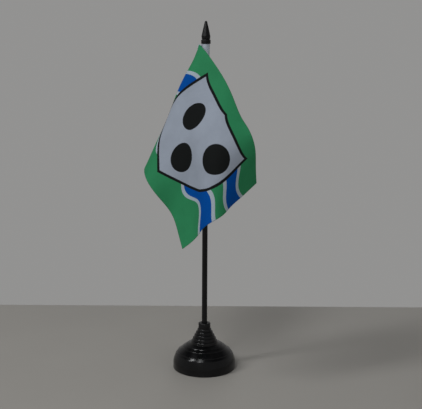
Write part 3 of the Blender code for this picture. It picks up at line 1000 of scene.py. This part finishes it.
def tail_spread(count):
    """How far each leaf stands from the middle of the tail: wide at the sleeve, close at the cloth."""
    wedge = np.maximum(0.0, 1 - np.arange(count) / 4)
    return LEAF_REACH + 0.0011 * wedge ** 1.7


def level_side(direction):
    """Level unit vectors square to the given directions."""
    side = np.cross((0, 0, 1), direction)
    return side / np.linalg.norm(side, axis=-1, keepdims=True)


def build_tail(cloth):
    """The two ends of the sleeve strip, sewn together with the flag's hoist between them."""
    size = sizes()
    rows = cloth.shape[1]
    lines = np.array([tail_line(cloth[0, row], cloth[1, row]) for row in range(rows)]).swapaxes(0, 1)
    spread = tail_spread(len(lines))[:, None, None]
    side = level_side(np.gradient(lines, axis=0))
    flutter = 0.00005 * np.sin(np.arange(rows) * 0.55)[None, :, None] * (spread > 0.0003)
    run = np.concatenate(((0.0,), np.cumsum(np.linalg.norm(np.diff(lines[:, 0], axis=0), axis=-1))))
    up = np.linspace(0, size.flag_height, rows)
    flat = np.stack(np.meshgrid(run, up, indexing="ij"), -1) / MILLIMETRE
    shape = bmesh.new()
    for sign in (1, -1):
        leaf = lines + sign * side * (spread + flutter)
        facing = slice(None, None, -sign)
        shape.from_mesh(sheet_mesh("leaf", leaf[facing], flat[facing]))
    item = place_object("white_tail", shaped_mesh("white_tail", shape))
    item.data.shade_smooth()
    item.data.materials.append(strip_cloth("white_tail_cloth"))
    thicken(item, size.strip_thickness * PRESSED_SHARE)
    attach(item, "flag")
    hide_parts("sleeve_tail")


def stitch_tree():
    """Tree that lays short stitches end to end along a line."""
    tree, given, output = new_tree("stitches", (
        ("Pitch", "NodeSocketFloat", 0.0024),
        ("Stitch Length", "NodeSocketFloat", 0.002),
        ("Thread Radius", "NodeSocketFloat", 0.00012),
        ("Tilt", "NodeSocketFloat", 0.06),
        ("Seed", "NodeSocketInt", 5),
        ("Finish", "NodeSocketMaterial", None),
    ))
    line = add(tree, "GeometryNodeMeshToCurve", {0: given.outputs["Geometry"]})
    inputs = {"Curve": line.outputs[0], "Length": given.outputs["Pitch"]}
    spaced = add(tree, "GeometryNodeCurveToPoints", inputs, mode="LENGTH")
    bead = add(tree, "GeometryNodeMeshUVSphere", {"Segments": 8, "Rings": 6})
    size = add(tree, "ShaderNodeCombineXYZ", {
        "X": given.outputs["Thread Radius"],
        "Y": given.outputs["Thread Radius"],
        "Z": Term(tree, given.outputs["Stitch Length"]) * 0.5,
    })
    inputs = {"Geometry": bead.outputs[0], "Scale": size.outputs[0]}
    shaped = add(tree, "GeometryNodeTransform", inputs)
    inputs = {"Vector": spaced.outputs["Tangent"]}
    aligned = add(tree, "FunctionNodeAlignRotationToVector", inputs, axis="Z")
    inputs = {"Seed": given.outputs["Seed"], "Min": (-1, -1, 0), "Max": (1, 1, 0)}
    wander = add(tree, "FunctionNodeRandomValue", inputs, data_type="FLOAT_VECTOR")
    inputs = {0: wander.outputs[0], "Scale": given.outputs["Tilt"]}
    tilt = add(tree, "ShaderNodeVectorMath", inputs, operation="SCALE")
    inputs = {"Rotation": aligned.outputs[0], "Rotate By": tilt.outputs[0]}
    tilted = add(tree, "FunctionNodeRotateRotation", inputs)
    copies = add(tree, "GeometryNodeInstanceOnPoints", {
        "Points": spaced.outputs["Points"],
        "Instance": shaped.outputs[0],
        "Rotation": tilted.outputs[0],
    })
    end_tree(tree, copies.outputs[0], given.outputs["Finish"], output)
    return tree


def build_stitches(cloth):
    """Lines of stitches down both faces of the sleeve strip's tail."""
    size = sizes()
    middle = 0.45 * cloth[0] + 0.55 * cloth[1]
    side = level_side(cloth[1] - cloth[0])
    proud = LEAF_REACH + 0.5 * size.strip_thickness * PRESSED_SHARE + STITCH_RISE
    points, chains = [], []
    for sign in (1, -1):
        start = len(points)
        points += (middle + sign * proud * side)[1:-1].tolist()
        chains += [(step, step + 1) for step in range(start, len(points) - 1)]
    mesh = bpy.data.meshes.new("hoist_stitches")
    mesh.from_pydata(points, chains, [])
    item = place_object("hoist_stitches", mesh)
    node_modifier(item, shared_tree("stitches", stitch_tree), Pitch=size.stitch_pitch,
                  Stitch_Length=0.85 * size.stitch_pitch, Thread_Radius=0.00012, Tilt=0.05, Seed=5,
                  Finish=sewing_thread())
    plain_mesh(item)
    item.data.shade_smooth()
    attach(item, "flag")


# ---- stage ----
def build_floor():
    """Plain pale table top that runs well past the view on every side but the back."""
    mesh = bpy.data.meshes.new("floor")
    left, right, front, back = -1.3, 1.3, -1.6, 0.187
    mesh.from_pydata([(left, front, 0), (right, front, 0), (right, back, 0), (left, back, 0)], [],
                     [(0, 1, 2, 3)])
    floor = place_object("floor", mesh)
    floor.data.materials.append(pale_floor())


def window_light(name, azimuth, height, distance, width, tall, power, fills):
    """Soft pane of light that looks at the middle of the stand."""
    lamp = bpy.data.lights.new(name, "AREA")
    lamp.shape = "RECTANGLE"
    lamp.size = width
    lamp.size_y = tall
    lamp.energy = power
    lamp.color = LIGHT_COLOUR
    item = place_object(name, lamp)
    turn = radians(azimuth)
    item.location = (distance * sin(turn), -distance * cos(turn), height)
    item.visible_camera = item.visible_glossy = not fills
    aim = Vector(LIGHT_AIM) - item.location
    item.rotation_euler = aim.to_track_quat("-Z", "Y").to_euler()


def build_surround():
    world = bpy.data.worlds.new("surround")
    world.use_nodes = True
    tree = world.node_tree
    height = axes(tree, add(tree, "ShaderNodeTexCoord").outputs["Generated"])[2]
    shade = mixed(tree, height.ramp(0.34, 0.75), paint("surround"), paint("ceiling"))
    feed(tree, tree.nodes["Background"].inputs["Color"], shade)
    bpy.context.scene.world = world


def build_camera():
    """Camera a little above the middle of the pole, looking slightly down."""
    lens = bpy.data.cameras.new("camera")
    lens.lens = CAMERA_LENS
    lens.sensor_width = 36.0
    item = place_object("camera", lens)
    item.location = CAMERA_PLACE
    item.rotation_euler = (Matrix.Rotation(CAMERA_PITCH, 4, "X")
                           @ Matrix.Rotation(CAMERA_ROLL, 4, "Z")).to_euler()
    bpy.context.scene.camera = item


def build_stage():
    build_floor()
    for light in LIGHTS:
        window_light(*light)
    build_surround()
    build_camera()
    bpy.context.scene.view_settings.view_transform = "Standard"


# ---- operators and panel ----
class FLAGSTAND_OT_base(bpy.types.Operator):
    """Build the stepped stand"""

    bl_idname = "flagstand.base"
    bl_label = "Stepped Stand"

    def execute(self, context):
        build_base()
        return {"FINISHED"}


class FLAGSTAND_OT_pole(bpy.types.Operator):
    """Build the round pole"""

    bl_idname = "flagstand.pole"
    bl_label = "Pole"

    def execute(self, context):
        build_pole()
        return {"FINISHED"}


class FLAGSTAND_OT_cap(bpy.types.Operator):
    """Build the spear cap at the top of the pole"""

    bl_idname = "flagstand.cap"
    bl_label = "Cap"

    def execute(self, context):
        build_cap()
        return {"FINISHED"}


class FLAGSTAND_OT_sleeve(bpy.types.Operator):
    """Build the white sleeve round the pole"""

    bl_idname = "flagstand.sleeve"
    bl_label = "Sleeve"

    def execute(self, context):
        build_sleeve()
        return {"FINISHED"}


class FLAGSTAND_OT_flag(bpy.types.Operator):
    """Build the printed flag with the sewn tail of its sleeve"""

    bl_idname = "flagstand.flag"
    bl_label = "Flag"

    def execute(self, context):
        cloth = hanging_cloth()
        build_flag(cloth)
        build_tail(cloth)
        build_stitches(cloth)
        return {"FINISHED"}


class FLAGSTAND_OT_stage(bpy.types.Operator):
    """Build the floor, the lights and the camera"""

    bl_idname = "flagstand.stage"
    bl_label = "Stage"

    def execute(self, context):
        build_stage()
        return {"FINISHED"}


OPERATORS = (FLAGSTAND_OT_base, FLAGSTAND_OT_pole, FLAGSTAND_OT_cap, FLAGSTAND_OT_sleeve,
             FLAGSTAND_OT_flag, FLAGSTAND_OT_stage)


class FLAGSTAND_PT_pieces(bpy.types.Panel):
    """Lists the pieces of the flag stand and what may be changed"""

    bl_idname = "FLAGSTAND_PT_pieces"
    bl_label = "Flag Stand"
    bl_space_type = "VIEW_3D"
    bl_region_type = "UI"
    bl_category = "Flag Stand"

    def draw(self, context):
        for operator in OPERATORS:
            self.layout.operator(operator.bl_idname)
        for group in (context.scene.flag_stand_sizes, context.scene.flag_stand_colours):
            column = self.layout.column()
            for name in group.bl_rna.properties.keys():
                if name not in ("rna_type", "name"):
                    column.prop(group, name)


CLASSES = (FlagStandSizes, FlagStandColours, *OPERATORS, FLAGSTAND_PT_pieces)


def register():
    for kind in CLASSES:
        bpy.utils.register_class(kind)
    bpy.types.Scene.flag_stand_sizes = PointerProperty(type=FlagStandSizes)
    bpy.types.Scene.flag_stand_colours = PointerProperty(type=FlagStandColours)


def unregister():
    del bpy.types.Scene.flag_stand_colours
    del bpy.types.Scene.flag_stand_sizes
    for kind in reversed(CLASSES):
        bpy.utils.unregister_class(kind)


def main():
    register()
    bpy.ops.flagstand.base()
    bpy.ops.flagstand.pole()
    bpy.ops.flagstand.cap()
    bpy.ops.flagstand.sleeve()
    bpy.ops.flagstand.flag()
    bpy.ops.flagstand.stage()


if __name__ == "__main__":
    main()
